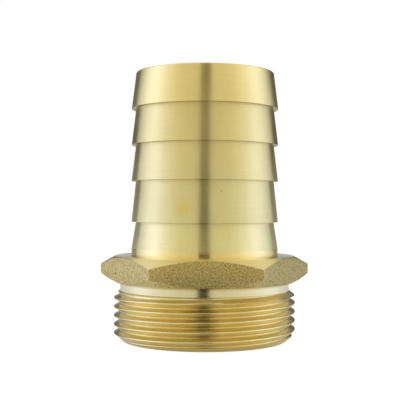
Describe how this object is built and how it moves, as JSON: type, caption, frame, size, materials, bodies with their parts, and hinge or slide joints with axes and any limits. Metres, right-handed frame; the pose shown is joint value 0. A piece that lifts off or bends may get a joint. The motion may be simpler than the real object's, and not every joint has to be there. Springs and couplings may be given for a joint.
{
  "type": "hose tail",
  "caption": "Brass hose tail: a barbed spigot for a push-on hose, a spanner hexagon and a male parallel pipe thread with a straight through bore.",
  "frame": {"origin": "on the axis, in the plane of the threaded end face that the fitting stands on", "axes": "+Z along the axis towards the hose end; two flats of the hexagon face -Y and +Y"},
  "size_m": [0.0548, 0.0478, 0.0701],
  "materials": {
    "brass": "satin turned, with as-stamped hexagon flats"
  },
  "bodies": {
    "root": {"hose_tail_body": "brass"}
  },
  "joints": []
}
